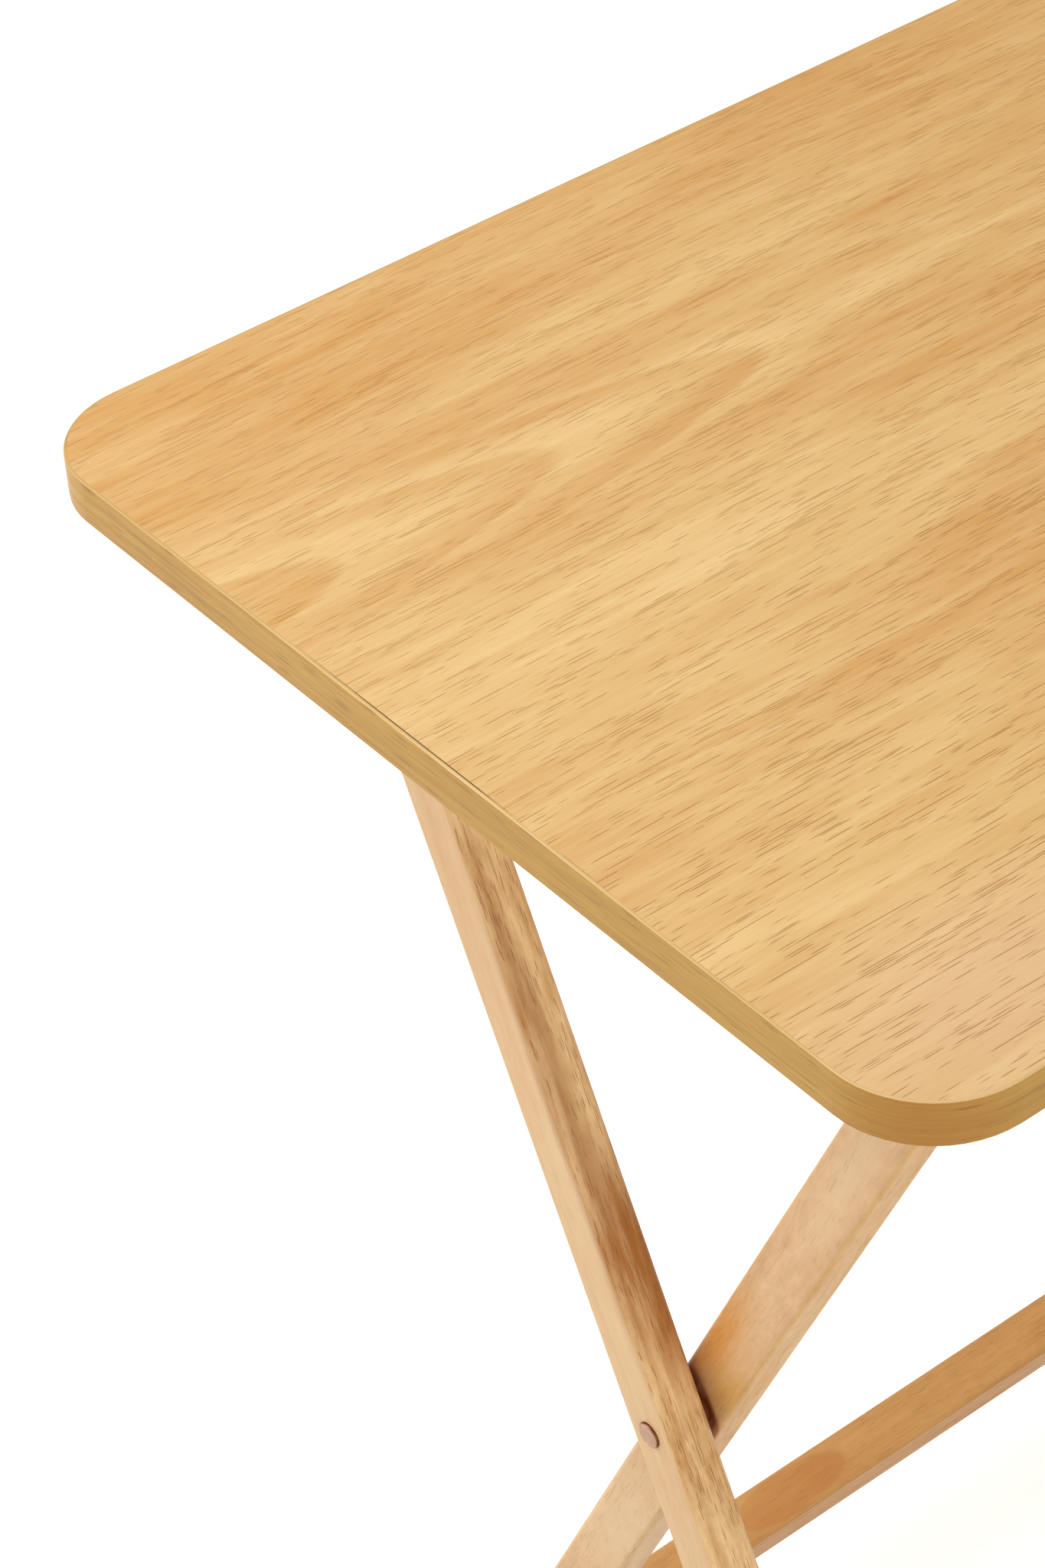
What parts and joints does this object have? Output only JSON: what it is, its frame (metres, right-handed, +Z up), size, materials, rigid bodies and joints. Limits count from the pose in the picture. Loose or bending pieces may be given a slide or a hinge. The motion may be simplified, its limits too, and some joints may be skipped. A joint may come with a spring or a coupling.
{
  "type": "folding snack table",
  "caption": "Small rectangular table with a rounded wood-look top on crossed wooden leg frames that fold flat, for meals in an armchair.",
  "frame": {"origin": "on the floor under the middle of the top", "axes": "+Z up, X along the long side of the top, -Y towards the front, where the inner legs' upper ends and the catches are"},
  "size_m": [0.5, 0.4, 0.65],
  "materials": {
    "top_laminate": "satin oak-look laminate, grain along the long side",
    "edge_band": "satin oak-look edge strip",
    "backing_laminate": "matt laminate",
    "core_board": "raw fibreboard",
    "solid_wood": "clear-lacquered rubberwood",
    "rivet_metal": "copper-plated steel",
    "steel": "zinc-plated steel",
    "washer_plastic": "dark brown nylon",
    "catch_plastic": "brown moulded plastic"
  },
  "bodies": {
    "outer_frame": {"outer_leg_left": "solid_wood", "outer_leg_right": "solid_wood", "pivot_rivet_left": "rivet_metal", "pivot_rivet_right": "rivet_metal", "pivot_washer_left": "washer_plastic", "pivot_washer_right": "washer_plastic", "rivet_burr_left": "rivet_metal", "rivet_burr_right": "rivet_metal", "outer_rail": "solid_wood", "outer_rail_dowels": "solid_wood"},
    "inner_frame": {"inner_leg_left": "solid_wood", "inner_leg_right": "solid_wood", "inner_rail": "solid_wood", "inner_rail_dowels": "solid_wood", "catch_rod": "solid_wood"},
    "tabletop": {"tabletop_core": "core_board", "top_laminate": "top_laminate", "backing_laminate": "backing_laminate", "edge_band": "edge_band", "hinge_bracket_left": "solid_wood", "hinge_bracket_right": "solid_wood", "hinge_pin_left": "steel", "hinge_pin_right": "steel", "hinge_washer_left": "washer_plastic", "hinge_washer_right": "washer_plastic", "catch_block_left": "catch_plastic", "catch_block_right": "catch_plastic", "bracket_screws": "steel", "catch_screws": "steel"}
  },
  "joints": [
    {"name": "top_lift", "type": "hinge", "parent": "outer_frame", "child": "tabletop", "pos_m": [0, 0.1385, 0.622], "axis": [-1, 0, 0], "range_deg": [0, 113.5]},
    {"name": "leg_fold", "type": "hinge", "parent": "outer_frame", "child": "inner_frame", "pos_m": [0, 0, 0.325], "axis": [-1, 0, 0], "range_deg": [0, 45.4]}
  ],
  "couplings": [
    {"joint": "leg_fold", "follows": "top_lift", "ratio": 0.4}
  ]
}
